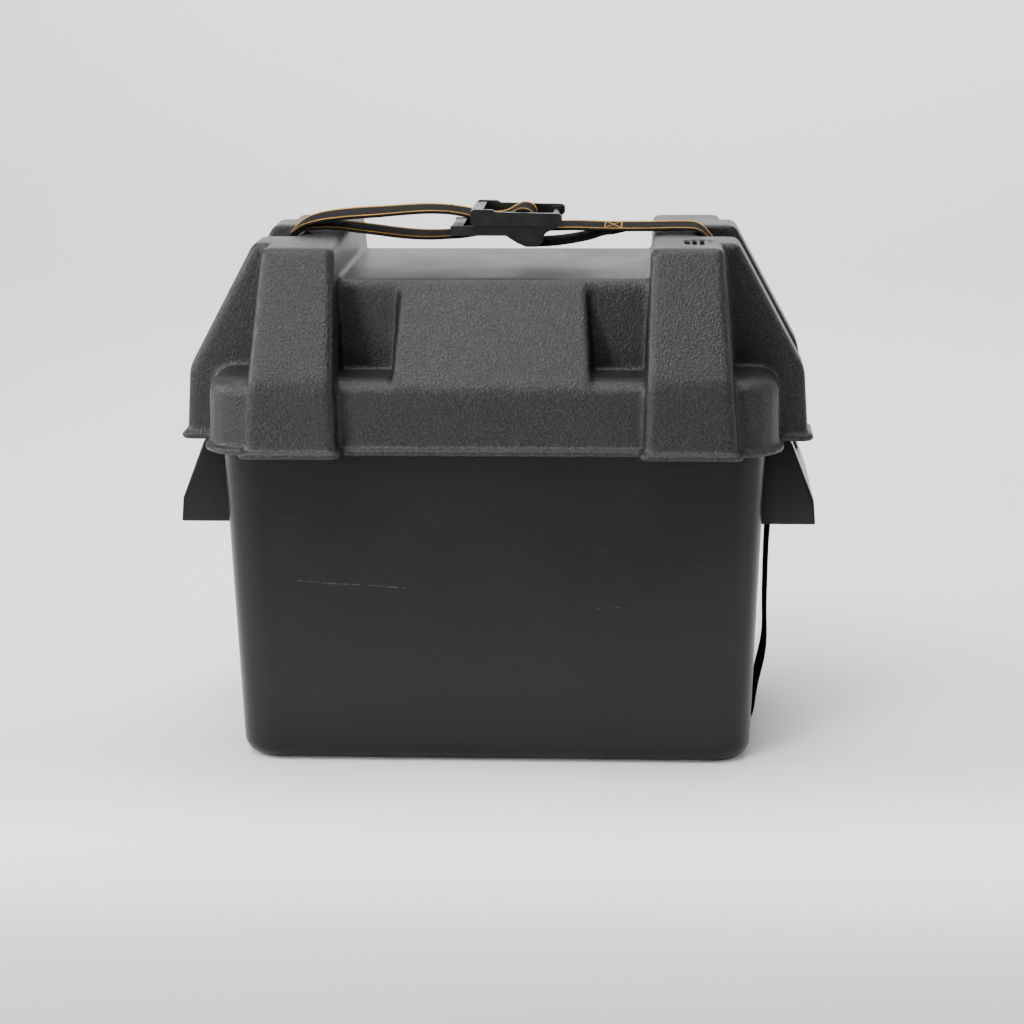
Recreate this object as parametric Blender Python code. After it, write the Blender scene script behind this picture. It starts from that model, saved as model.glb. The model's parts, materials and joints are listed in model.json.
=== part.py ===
"""Strapped battery box with a Group 24 deep cycle battery inside.

Metres, +Z up. The origin is the centre of the tub's underside; -Y is the front, X runs
along the long side. Every sub-part is its own object, named as its node.
"""
import math

import bmesh
import bpy
from mathutils import Matrix, Vector

MM = 0.001
GAP = 0.3  # clearance between touching solids, mm
WELD = 0.00001  # points this close after a Boolean are one, m

# Tub, outer sizes in mm: half length and half depth at the floor, and their growth by draft
TUB_HX, TUB_HY = 137.0, 91.5
DRAFT_X, DRAFT_Y = 6.5 / 160.0, 5.0 / 160.0
TUB_TOP = 202.0
TUB_WALL = 3.0
TUB_FLOOR = 5.6
TUB_CORNER_R = 20.0
TUB_FOOT_R = 10.0

# Strap grips moulded on the two ends of the tub
WING_HY = 54.0
WING_WALL = 3.0
WING_PROFILE = ((143.0, 187.0), (146.0, 187.0), (159.0, 168.0), (171.0, 137.0), (172.0, 124.0))
SLOT_HY = 29.0

# Lid
LID_Z0 = 170.0
LID_WALL = 3.0
SKIRT_HX, SKIRT_HY = 150.8, 101.8
SKIRT_R = 22.0
LEDGE_Z = 210.6
CREASE_Z = 205.5
TOP_Z, TOP_HY = 258.8, 66.8
RIDGE_Z, RIDGE_HY = 276.6, 80.0
PIL_Y0, PIL_Y1 = 113.7, 112.3
PIL_X = ((79.8, 128.9), (81.2, 126.2), (83.0, 121.2))
PANEL_X0, PANEL_X1 = 52.6, 49.4
END_X0, END_X1, END_X2 = 167.4, 165.0, 128.9
END_HY = 57.5
KNEE_Z = 209.5
BEAD, BEAD_H = 2.6, 5.0
CHANNEL_HY = 25.0
CHANNEL = ((107.0, 277.6), (118.0, 262.5), (150.5, 208.5), (153.2, 168.0))

# Webbing
WEB_W, WEB_T = 38.0, 1.6
HINGE_X, HINGE_Z = 155.6, 170.0

# Buckle
BUCKLE_IN, RAIL_T, LEVER_T = 19.6, 2.6, 2.6
PIVOT = (30.0, 284.6)
PIVOT_R = 1.8
LOOP_BAR = (18.0, 274.7)

# Battery
CELLS = 6
BAT_Z0 = 6.0
CASE_HX, CASE_HY, CASE_TOP = 128.0, 85.0, 188.0
CASE_WALL, PART_WALL = 2.5, 2.0
COVER_HX, COVER_HY, COVER_TOP = 130.0, 86.5, 200.0
POST_Y = -55.0
STRAP_Z0, STRAP_Z1 = 156.0, 163.0
WELD_R = 5.0
VENT_R = 9.0


def clear_scene():
    for obj in list(bpy.data.objects):
        bpy.data.objects.remove(obj, do_unlink=True)


def material(name, colour, roughness, metallic=0.0):
    mat = bpy.data.materials.new(name)
    mat.use_nodes = True
    shader = mat.node_tree.nodes["Principled BSDF"]
    shader.inputs["Base Color"].default_value = (*colour, 1.0)
    shader.inputs["Roughness"].default_value = roughness
    shader.inputs["Metallic"].default_value = metallic
    return mat


def add(name, bm, mat=None, smooth=False):
    """Makes an object from a bmesh given in mm."""
    bmesh.ops.recalc_face_normals(bm, faces=bm.faces)
    bmesh.ops.scale(bm, vec=Vector((MM, MM, MM)), verts=bm.verts)
    mesh = bpy.data.meshes.new(name)
    bm.to_mesh(mesh)
    bm.free()
    if smooth:
        mesh.shade_smooth()
        mesh.set_sharp_from_angle(angle=math.radians(35))
    if mat:
        mesh.materials.append(mat)
    obj = bpy.data.objects.new(name, mesh)
    bpy.context.scene.collection.objects.link(obj)
    return obj


def combine(target, others, operation):
    """Applies one Boolean per helper, then removes the helpers."""
    for other in others:
        mod = target.modifiers.new("bool", "BOOLEAN")
        mod.operation = operation
        mod.solver = "EXACT"
        mod.object = other
        bpy.context.view_layer.update()
        graph = bpy.context.evaluated_depsgraph_get()
        mesh = bpy.data.meshes.new_from_object(target.evaluated_get(graph))
        bm = bmesh.new()
        bm.from_mesh(mesh)
        bmesh.ops.remove_doubles(bm, verts=bm.verts, dist=WELD)
        bmesh.ops.dissolve_degenerate(bm, edges=bm.edges, dist=WELD)
        bmesh.ops.holes_fill(bm, edges=[e for e in bm.edges if e.is_boundary], sides=4)
        bm.to_mesh(mesh)
        bm.free()
        target.modifiers.clear()
        target.data = mesh
        bpy.data.objects.remove(other, do_unlink=True)
    return target


def hull(name, points, bevel=0.0, segments=2):
    """Convex solid around points, with its edges rounded."""
    bm = bmesh.new()
    for p in points:
        bm.verts.new(p)
    bmesh.ops.convex_hull(bm, input=bm.verts)
    bmesh.ops.dissolve_limit(bm, angle_limit=math.radians(1), verts=bm.verts, edges=bm.edges)
    if bevel:
        bmesh.ops.bevel(bm, geom=bm.edges[:], offset=bevel, segments=segments, affect="EDGES", profile=0.5)
    return add(name, bm)


def box(name, x, y, z, mat=None):
    bm = bmesh.new()
    bmesh.ops.create_cube(bm, size=1.0)
    for v in bm.verts:
        v.co = Vector(((x[0] + x[1]) / 2 + v.co.x * (x[1] - x[0]),
                       (y[0] + y[1]) / 2 + v.co.y * (y[1] - y[0]),
                       (z[0] + z[1]) / 2 + v.co.z * (z[1] - z[0])))
    return add(name, bm, mat)


def turned(name, profile, x, y, mat=None, sides=24):
    """Solid of revolution about the vertical through x, y; profile is (radius, z), bottom to top."""
    bm = bmesh.new()
    rings = []
    for r, z in profile:
        rings.append([bm.verts.new((x + r * math.cos(a), y + r * math.sin(a), z))
                      for a in (2 * math.pi * i / sides for i in range(sides))])
    skin(bm, rings)
    return add(name, bm, mat, smooth=True)


def rod(name, r, x, z, y0, y1, mat=None, sides=16):
    """Round bar along Y."""
    bm = bmesh.new()
    rings = [[bm.verts.new((x + r * math.cos(a), y, z + r * math.sin(a)))
              for a in (2 * math.pi * i / sides for i in range(sides))] for y in (y0, y1)]
    skin(bm, rings)
    return add(name, bm, mat, smooth=True)


def skin(bm, rings):
    """Joins successive rings of equal count and caps both ends."""
    count = len(rings[0])
    for a, b in zip(rings, rings[1:]):
        for i in range(count):
            j = (i + 1) % count
            bm.faces.new((a[i], a[j], b[j], b[i]))
    bm.faces.new(list(reversed(rings[0])))
    bm.faces.new(rings[-1])


def rounded(hx, hy, r, z, steps=5):
    """Points of a rounded rectangle at height z."""
    out = []
    for k, (cx, cy) in enumerate(((1, 1), (-1, 1), (-1, -1), (1, -1))):
        for i in range(steps + 1):
            a = math.radians(90 * (k + i / steps))
            out.append((cx * (hx - r) + r * math.cos(a), cy * (hy - r) + r * math.sin(a), z))
    return out


def stack(name, rings, mat=None, smooth=False):
    bm = bmesh.new()
    skin(bm, [[bm.verts.new(p) for p in ring] for ring in rings])
    return add(name, bm, mat, smooth)


def plate(name, outline, y0, y1, mat=None):
    """Prism along Y of an outline in X, Z."""
    bm = bmesh.new()
    skin(bm, [[bm.verts.new((x, y, z)) for x, z in outline] for y in (y0, y1)])
    return add(name, bm, mat)


def tub_ring(z, grow=0.0, r=TUB_CORNER_R):
    return rounded(TUB_HX + DRAFT_X * z + grow, TUB_HY + DRAFT_Y * z + grow, r + min(grow, 0.0), z)


def box_base(mat):
    foot = TUB_FOOT_R
    rings = [tub_ring(0.0, -foot * 0.95), tub_ring(foot * 0.13, -foot * 0.5),
             tub_ring(foot * 0.4, -foot * 0.2), tub_ring(foot, 0.0), tub_ring(TUB_TOP)]
    body = stack("box_base", rings, mat, smooth=True)
    wings = []
    for side in (-1, 1):
        outline = [(side * x, z) for x, z in WING_PROFILE] + [(side * 139.0, 124.0)]
        wings.append(plate("wing", outline, -WING_HY, WING_HY))
    combine(body, wings, "UNION")
    cuts = []
    for side in (-1, 1):
        inner = [(side * x, z) for x, z in
                 ((142.0 + DRAFT_X, 120.0), (143.6, 160.0), (144.6, 182.0), (156.6, 166.4),
                  (168.0, 136.4), (169.1, 120.0))]
        cuts.append(plate("under_wing", inner, -WING_HY + WING_WALL, WING_HY - WING_WALL))
        slot = [(side * x, z) for x, z in
                ((145.4, 200.0), (145.4, 176.0), (146.0, 150.0), (166.0, 150.0), (166.0, 200.0))]
        cuts.append(plate("slot", slot, -SLOT_HY, SLOT_HY))
    cavity = stack("cavity", [tub_ring(TUB_FLOOR, -TUB_WALL - 2.5), tub_ring(TUB_FLOOR + 3.0, -TUB_WALL),
                              tub_ring(TUB_TOP + 2.0, -TUB_WALL)])
    groove = box("groove", (-160, 160), (-22, 22), (-1.0, 2.6))
    combine(body, cuts + [cavity, groove], "DIFFERENCE")
    return body


def ridge_points(side, grow, z0, wall=0.0):
    """Corner points of a ridge with its front and rear pilaster legs."""
    pts = []
    (a0, b0), (a1, b1), (a2, b2) = PIL_X
    for x0, x1, hy, z in ((a0, b0, PIL_Y0, z0), (a1, b1, PIL_Y1, KNEE_Z), (a2, b2, RIDGE_HY, RIDGE_Z)):
        top = z == RIDGE_Z
        for x in (x0 - grow, x1 + grow):
            for y in (-hy - grow, hy + grow):
                pts.append((side * x, y, z + (grow if top else 0.0)))
    return pts


def end_points(side, grow, z0, y0, y1, floor=None):
    """Corner points of an end pilaster between y0 and y1; floor gives another outer profile."""
    prof = floor or ((END_X0, z0), (END_X1, KNEE_Z), (END_X2, RIDGE_Z))
    pts = []
    for x, z in prof:
        for y in (y0, y1):
            pts.append((side * (x + grow), y, z + (grow if z == RIDGE_Z else 0.0)))
    for y in (y0, y1):
        pts.append((side * 100.0, y, z0))
        pts.append((side * 100.0, y, RIDGE_Z + grow))
    return pts


def bead_profile(lift):
    """How far the rim bead stands out, and at which height; lift keeps crossing beads off one plane."""
    return [(o, LID_Z0 + z + lift) for o, z in
            ((BEAD * 0.6, 0.0), (BEAD, 1.1), (BEAD, 3.1), (0.25, BEAD_H - 0.5))]


def lid_outer():
    skirt = stack("box_lid", [
        rounded(SKIRT_HX, SKIRT_HY, SKIRT_R, LID_Z0),
        rounded(SKIRT_HX - 0.4, SKIRT_HY - 0.4, SKIRT_R, 202.8),
        rounded(SKIRT_HX - 1.1, SKIRT_HY - 1.1, SKIRT_R - 0.7, 205.2),
        rounded(SKIRT_HX - 2.9, SKIRT_HY - 2.9, SKIRT_R - 2.4, 207.4),
        rounded(SKIRT_HX - 5.6, SKIRT_HY - 5.6, SKIRT_R - 5.0, 209.2),
        rounded(SKIRT_HX - 10.0, SKIRT_HY - 10.0, SKIRT_R - 9.0, LEDGE_Z)])
    pieces = [hull("upper", [(sx * 100, sy * y, z) for sx in (-1, 1) for sy in (-1, 1)
                             for y, z in ((71.2, 205.0), (69.2, 254.0), (TOP_HY, TOP_Z))], 1.2, 1)]
    for sy in (-1, 1):
        pieces.append(hull("panel", [(sx * x, sy * y, z) for sx in (-1, 1) for x, y, z in (
            (PANEL_X0, SKIRT_HY - 0.9, CREASE_Z), (PANEL_X1, TOP_HY + 1.5, TOP_Z - 1.5),
            (PANEL_X0, 60.0, CREASE_Z), (PANEL_X1, 60.0, TOP_Z - 1.5))], 1.2))
    for side in (-1, 1):
        pieces.append(hull("ridge", ridge_points(side, 0.0, LID_Z0), 3.0))
        pieces.append(hull("end", end_points(side, 0.0, LID_Z0, -END_HY, END_HY), 3.0))
    combine(skirt, pieces, "UNION")
    beads = [stack("bead", [rounded(SKIRT_HX + o, SKIRT_HY + o, SKIRT_R + 2, z)
                            for o, z in bead_profile(0.3)])]
    for side in (-1, 1):
        cx, hx = side * (PIL_X[0][0] + PIL_X[0][1]) / 2, (PIL_X[0][1] - PIL_X[0][0]) / 2
        rings = [[(cx + x, y, z) for x, y, z in rounded(hx + o, PIL_Y0 + o, 4.0, z, 2)]
                 for o, z in bead_profile(0.45)]
        beads.append(stack("bead", rings))
        rings = [[(side * 120 + x, y, z) for x, y, z in rounded(END_X0 - 120 + o, END_HY + o, 4.0, z, 2)]
                 for o, z in bead_profile(0.6)]
        beads.append(stack("bead", rings))
    return combine(skirt, beads, "UNION")


def lid_inner():
    """The hollow of the lid, one wall thickness inside its outer shape."""
    w, low = LID_WALL, LID_Z0 - 2.0
    hollow = stack("hollow", [rounded(SKIRT_HX - w, SKIRT_HY - w, SKIRT_R - w, low),
                              rounded(SKIRT_HX - w - 0.4, SKIRT_HY - w - 0.4, SKIRT_R - w, TUB_TOP + GAP)])
    pieces = [stack("upper_hollow", [rounded(142.6, 94.9, 17.0, 190.0), rounded(142.6, 94.9, 17.0, 203.0),
                                     rounded(138.4, 89.4, 13.0, LEDGE_Z - w - 0.3)])]
    pieces += [hull("h_upper", [(sx * 99, sy * y, z) for sx in (-1, 1) for sy in (-1, 1)
                               for y, z in ((68.2, 204.0), (66.2, 252.5), (TOP_HY - w, TOP_Z - w))])]
    for sy in (-1, 1):
        pieces.append(hull("h_panel", [(sx * x, sy * y, z) for sx in (-1, 1) for x, y, z in (
            (PANEL_X0 - w, SKIRT_HY - w - 2.0, CREASE_Z - 3.0),
            (PANEL_X1 - w, TOP_HY - 2.2, TOP_Z - w - 1.0),
            (PANEL_X0 - w, 58.0, CREASE_Z - 3.0), (PANEL_X1 - w, 58.0, TOP_Z - w - 1.0))]))
    channel_wall = tuple((x - w - 0.3, z) for x, z in reversed(CHANNEL[1:]))
    channel_wall = ((channel_wall[0][0], low),) + channel_wall[1:] + ((CHANNEL[0][0] - 3.6, RIDGE_Z),)
    for side in (-1, 1):
        pieces.append(hull("h_ridge", ridge_points(side, -w, low)))
        pieces.append(hull("h_end", end_points(side, -w, low, -END_HY + w, -CHANNEL_HY - w)))
        pieces.append(hull("h_end", end_points(side, -w, low, CHANNEL_HY + w, END_HY - w)))
        mid = [(side * x, y, z if z < RIDGE_Z else RIDGE_Z - w) for x, z in channel_wall
               for y in (-CHANNEL_HY - w - 1, CHANNEL_HY + w + 1)]
        mid += [(side * 95.0, y, z) for y in (-CHANNEL_HY - w - 1, CHANNEL_HY + w + 1)
                for z in (low, RIDGE_Z - w)]
        pieces.append(hull("h_mid", mid))
    combine(hollow, pieces, "UNION")
    keep = []
    for side in (-1, 1):
        # keeps the wall behind the strap channel whole where the ridge hollow would break into it
        outline = [(side * x, z) for x, z in ((103.4, 279.0), (115.2, 260.6), (147.6, 206.8),
                                              (149.9, 190.0), (180.0, 190.0), (180.0, 279.0))]
        keep.append(plate("keep", outline, -CHANNEL_HY - w + 0.2, CHANNEL_HY + w - 0.2))
    return combine(hollow, keep, "DIFFERENCE")


def box_lid(mat):
    lid = lid_outer()
    cuts = []
    for side in (-1, 1):
        outline = [(side * x, z) for x, z in CHANNEL]
        outline += [(side * 190.0, 168.0), (side * 190.0, 290.0), (side * 107.0, 290.0)]
        cuts.append(plate("channel", outline, -CHANNEL_HY, CHANNEL_HY))
        for i in range(4):
            x = side * (102.0 + 3.9 * i)
            reach = (10.5, 8.5)[i in (0, 3)]
            y = side * -51.5
            cuts.append(box("vent", (x - 1.1, x + 1.1), (y - reach, y + reach), (262.0, 280.0)))
    combine(lid, [lid_inner()] + cuts, "DIFFERENCE")
    lid.data.materials.clear()
    lid.data.materials.append(mat)
    return lid


def ribbon(name, path, mat, width=WEB_W, thick=WEB_T):
    """Webbing of constant thickness along a path in X, Z; both faces are mitred."""
    pts = [Vector((x, z)) for x, z in path]
    upper, lower = [], []
    for i, p in enumerate(pts):
        before = (p - pts[i - 1]).normalized() if i else (pts[1] - p).normalized()
        after = (pts[i + 1] - p).normalized() if i + 1 < len(pts) else before
        along = (before + after).normalized()
        across = Vector((-along.y, along.x))
        reach = thick / 2 / max(0.5, across.dot(Vector((-after.y, after.x))))
        upper.append(p + across * reach)
        lower.append(p - across * reach)
    bm = bmesh.new()
    rows = []
    for a, b in zip(upper, lower):
        rows.append([bm.verts.new((q.x, y, q.y)) for q, y in
                     ((a, -width / 2), (a, width / 2), (b, width / 2), (b, -width / 2))])
    skin(bm, rows)
    return add(name, bm, mat)


def curve_through(points, step=6.0):
    """Smooth path through points (Catmull-Rom), sampled about every step mm."""
    out = []
    pts = [Vector(p) for p in points]
    for i in range(len(pts) - 1):
        p0 = pts[max(i - 1, 0)]
        p1, p2 = pts[i], pts[i + 1]
        p3 = pts[min(i + 2, len(pts) - 1)]
        n = max(1, round((p2 - p1).length / step))
        for k in range(n):
            t = k / n
            q = 0.5 * ((2 * p1) + (p2 - p0) * t + (2 * p0 - 5 * p1 + 4 * p2 - p3) * t * t
                       + (3 * p1 - p0 - 3 * p2 + p3) * t ** 3)
            out.append((q.x, q.y))
    out.append(tuple(pts[-1]))
    return out


def webbing(mat):
    right = ((130, 1.25), (134.6, 1.9), (138.6, 4.8), (140.6, 10.5), (142.6, 24), (146.9, 46), (146.9, 73),
             (147.9, 112), (151.5, 142), (HINGE_X - 0.1, HINGE_Z - 1.4))
    left = ((-130, 1.25), (-134.6, 1.9), (-138.6, 4.8), (-140.6, 10.5), (-141.6, 40), (-143.8, 90),
            (-145.4, 120), (-151.0, 145), (-HINGE_X + 0.1, HINGE_Z - 1.4))
    path = list(reversed(curve_through(left, 10)))[:-1] + [(-130, 1.25)] + curve_through(right, 10)
    ribbon("strap_base", path, mat)
    side = ((HINGE_X, HINGE_Z + 0.6), (HINGE_X - 0.3, 190), (HINGE_X - 1.2, 205), (151.2, 213),
            (136, 238.0), (121.4, 262.4), (115.4, 271.6), (108.2, 278.3))
    load = [(-x, z) for x, z in side]
    load += [(-99, 279.6), (-88, 279.4), (-73, 277.6), (-52, 275.0), (-38, 274.3), (-27.6, 274.8)]
    ribbon("strap_left", curve_through(load, 9), mat)
    tail = ((-131.5, 250.0), (-123.6, 262.8), (-116.6, 273.4), (-108.5, 280.6), (-98, 284.0),
            (-84, 285.8), (-66, 287.0), (-42, 288.6), (-27.6, 288.2))
    ribbon("strap_tail", curve_through(tail, 7), mat)
    loop = [(98, 279.3), (80, 279.0), (60, 279.0), (42, 279.5), (30, 279.3), (22, 278.9),
            (17.4, 278.5), (14.1, 276.6), (13.7, 273.6), (15.8, 271.1), (20, 270.6), (33, 271.2),
            (54, 273.0), (68.5, 275.0)]
    ribbon("strap_right", curve_through(list(side) + loop, 9), mat)
    frame_run = ((-26.9, 274.8), (-20, 275.2), (-12, 276.4), (-5.5, 277.6))
    ribbon("strap_frame_run", curve_through(frame_run, 4), mat)
    over = ((-26.9, 288.1), (-20, 287.0), (-12, 285.2), (-4, 284.4), (3, 285.4), (8.2, 288.2), (12.6, 289.9),
            (17.0, 288.6), (18.6, 285.0), (16.4, 282.0), (9, 280.4), (0, 279.2), (-4.6, 278.3))
    ribbon("strap_lever_loop", curve_through(over, 4), mat)


def buckle(mat, steel):
    """Frame with two rails and its bars, lever with two cheeks and its bars, and the pivot pin."""
    y0, y1 = BUCKLE_IN, BUCKLE_IN + RAIL_T
    rail = ((-26, 276.2), (4, 276.2), (10, 272.4), (15, 270.2), (21, 270.2), (24, 272.4), (25, 277.4),
            (32.6, 281.2), (33.6, 284.6), (32.4, 287.4), (29.0, 288.0), (26.4, 286.6), (22, 281.4),
            (-26, 281.4))
    frame = plate("buckle_frame", rail, y0, y1, mat)
    other = plate("rail", rail, -y1, -y0)
    bars = [box("bar", (-25.6, -19.6), (-y0 - 1, y0 + 1), (278.0, 281.0)),
            rod("bar", 2.2, LOOP_BAR[0], LOOP_BAR[1], -y0 - 1, y0 + 1, sides=12)]
    combine(frame, bars + [other], "UNION")
    eye = rod("eye", PIVOT_R + 0.06, PIVOT[0], PIVOT[1], -y1 - 1, y1 + 1)
    combine(frame, [eye], "DIFFERENCE")
    a0, a1 = y1 + 0.35, y1 + 0.35 + LEVER_T
    cheek = ((-15, 283.0), (-13, 281.8), (32.5, 281.8), (34.6, 284.0), (34.6, 287.4), (33.0, 288.6),
             (22, 288.8), (-1, 289.4), (-3, 290.6), (-13, 290.8), (-15, 289.4))
    lever = plate("buckle_lever", cheek, a0, a1, mat)
    other = plate("cheek", cheek, -a1, -a0)
    bars = [box("tab", (-14.6, -8.6), (-a0 - 1, a0 + 1), (287.6, 290.0)),
            rod("cam", 2.4, 12.4, 285.7, -a0 - 1, a0 + 1, sides=12)]
    combine(lever, bars + [other], "UNION")
    eye = rod("eye", PIVOT_R + 0.06, PIVOT[0], PIVOT[1], -a1 - 1, a1 + 1)
    combine(lever, [eye], "DIFFERENCE")
    rod("buckle_pin", PIVOT_R, PIVOT[0], PIVOT[1], -a1 - 0.4, a1 + 0.4, steel)


def cell_width():
    return (2 * (CASE_HX - CASE_WALL) - (CELLS - 1) * PART_WALL) / CELLS


def cell_centre(i):
    return (i - (CELLS - 1) / 2) * (cell_width() + PART_WALL)


def weld_y(i):
    """Side of the case on which cell i is welded to cell i + 1."""
    return -POST_Y if i % 2 == 0 else POST_Y


def battery_case(mat):
    case = stack("battery_case", [rounded(CASE_HX - 1.5, CASE_HY - 1.5, 8, BAT_Z0, 3),
                                  rounded(CASE_HX, CASE_HY, 8, BAT_Z0 + 3, 3),
                                  rounded(CASE_HX, CASE_HY, 8, CASE_TOP, 3)], mat)
    cuts = []
    half = cell_width() / 2
    for i in range(CELLS):
        x = cell_centre(i)
        cuts.append(box("cell", (x - half, x + half), (-CASE_HY + CASE_WALL, CASE_HY - CASE_WALL),
                        (BAT_Z0 + 3.0, CASE_TOP + 5)))
    for i in range(CELLS - 1):
        x = (cell_centre(i) + cell_centre(i + 1)) / 2
        hole = cross_rod("hole", WELD_R + 0.3, x - 3, x + 3, weld_y(i), (STRAP_Z0 + STRAP_Z1) / 2 + 4)
        cuts.append(hole)
    return combine(case, cuts, "DIFFERENCE")


def cross_rod(name, r, x0, x1, y, z, mat=None, sides=12):
    """Round bar along X."""
    bm = bmesh.new()
    rings = [[bm.verts.new((x, y + r * math.cos(a), z + r * math.sin(a)))
              for a in (2 * math.pi * i / sides for i in range(sides))] for x in (x0, x1)]
    skin(bm, rings)
    return add(name, bm, mat, smooth=True)


def plate_group(name, i, y, count, first, thick, mat, toward):
    """Plates of one polarity in cell i, burned to a cast strap at y with an upright lug."""
    pitch = 8.4
    cx = cell_centre(i)
    half = cell_width() / 2
    start = cx + first
    strap_x = [start - 0.5, start + (count - 1) * pitch + thick + 0.5]
    lug_x = None
    if toward:
        edge = cx + toward * (half - GAP)
        lug_x = (min(edge, edge - toward * 4.0), max(edge, edge - toward * 4.0))
        strap_x = [min(strap_x[0], lug_x[0]), max(strap_x[1], lug_x[1])]
    body = box(name, strap_x, (y - 7, y + 7), (STRAP_Z0, STRAP_Z1), mat)
    parts = []
    for k in range(count):
        x = start + k * pitch
        outline = ((-78, 14), (78, 14), (78, 148), (y + 5, 148), (y + 5, STRAP_Z0 + 2),
                   (y - 5, STRAP_Z0 + 2), (y - 5, 148), (-78, 148))
        bm = bmesh.new()
        skin(bm, [[bm.verts.new((px, py, pz)) for py, pz in outline] for px in (x, x + thick)])
        parts.append(add("plate", bm))
    if lug_x:
        parts.append(box("lug", lug_x, (y - 6.9, y + 6.9), (STRAP_Z0 + 1, STRAP_Z1 + 8)))
    return combine(body, parts, "UNION")


def elements(lead, oxide):
    """Six cells in series: the negative of each is on the side where the one before it ends."""
    for i in range(CELLS):
        neg_y = POST_Y if i % 2 == 0 else -POST_Y
        pos_y = -neg_y
        plate_group(f"negative_group_{i + 1}", i, neg_y, 5, -17.6, 1.6, lead, -1 if i else 0)
        plate_group(f"positive_group_{i + 1}", i, pos_y, 4, -13.5, 2.0, oxide,
                    1 if i < CELLS - 1 else 0)
    for i in range(CELLS - 1):
        x = (cell_centre(i) + cell_centre(i + 1)) / 2
        cross_rod(f"cell_weld_{i + 1}", WELD_R, x - PART_WALL / 2 + 0.02, x + PART_WALL / 2 - 0.02,
                  weld_y(i), (STRAP_Z0 + STRAP_Z1) / 2 + 4, lead)


def battery_cover(mat):
    cover = stack("battery_cover", [rounded(COVER_HX, COVER_HY, 5, CASE_TOP + GAP, 2),
                                    rounded(COVER_HX, COVER_HY, 5, COVER_TOP - 2, 2),
                                    rounded(COVER_HX - 2, COVER_HY - 2, 4, COVER_TOP, 2)], mat)
    cuts = [box("trough", (-124, 124), (-16, 16), (COVER_TOP - 3.0, COVER_TOP + 5))]
    for i in range(CELLS):
        cuts.append(turned("vent", ((VENT_R, 180), (VENT_R, 210)), cell_centre(i), 0, sides=20))
    for x in (cell_centre(0), cell_centre(CELLS - 1)):
        cuts.append(turned("bush", ((9.8, 180), (9.8, 210)), x, POST_Y, sides=20))
    return combine(cover, cuts, "DIFFERENCE")


def vent_bar(name, cells, mat):
    """Gang cap: one bar with three barrels that press into the cover."""
    xs = [cell_centre(i) for i in cells]
    z0 = COVER_TOP - 3.0 + GAP
    rings = [[(sum(xs) / 3 + x, y, z) for x, y, z in rounded(hx, hy, 6, z, 3)] for hx, hy, z in
             ((57.5, 13.0, z0), (57.5, 13.0, z0 + 9.0), (56.0, 11.5, z0 + 10.5))]
    bar = stack(name, rings, mat, smooth=True)
    barrels = [turned("barrel", ((7.2, 186.5), (8.4, 188.5), (8.4, z0 + 2)), x, 0, sides=20) for x in xs]
    return combine(bar, barrels, "UNION")


def terminal(tag, x, lead, steel):
    profile = ((7.0, STRAP_Z1 + GAP), (7.0, 180), (9.5, 182), (9.5, COVER_TOP + 0.4),
               (12.5, COVER_TOP + 0.4), (12.5, COVER_TOP + 3), (9.6, COVER_TOP + 3.6), (8.9, 213.0))
    post = turned(f"post_{tag}", profile, x, POST_Y, lead)
    bore = turned("bore", ((4.1, 200.0), (4.1, 220.0)), x, POST_Y, sides=20)
    combine(post, [bore], "DIFFERENCE")
    turned(f"stud_{tag}", ((4.0, 200.3), (4.0, 230.2), (3.3, 231.0)), x, POST_Y, steel, sides=20)
    ring = turned(f"lock_washer_{tag}", ((7.4, 213.3), (7.4, 215.1)), x, POST_Y, steel)
    combine(ring, [turned("hole", ((4.3, 212.0), (4.3, 216.0)), x, POST_Y, sides=20)], "DIFFERENCE")
    nut = turned(f"wing_nut_{tag}", ((6.6, 215.4), (6.6, 218.0), (5.6, 222.0)), x, POST_Y, steel, sides=20)
    wings = []
    for s in (-1, 1):
        outline = ((x + s * 4.9, 216.4), (x + s * 9.0, 216.8), (x + s * 15.0, 223.0), (x + s * 15.6, 227.0),
                   (x + s * 12.6, 228.2), (x + s * 8.2, 223.6), (x + s * 4.9, 221.4))
        wings.append(plate("wing", outline, POST_Y - 1.6, POST_Y + 1.6))
    combine(nut, wings, "UNION")
    combine(nut, [turned("hole", ((4.06, 214.0), (4.06, 224.0)), x, POST_Y, sides=20)], "DIFFERENCE")


def set_origin(name, x, y, z):
    """Moves an object's origin onto its joint's axis, its shape staying where it is."""
    obj = bpy.data.objects[name]
    shift = Vector((x * MM, y * MM, z * MM)) - obj.location
    obj.data.transform(Matrix.Translation(-shift))
    obj.location += shift


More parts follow.
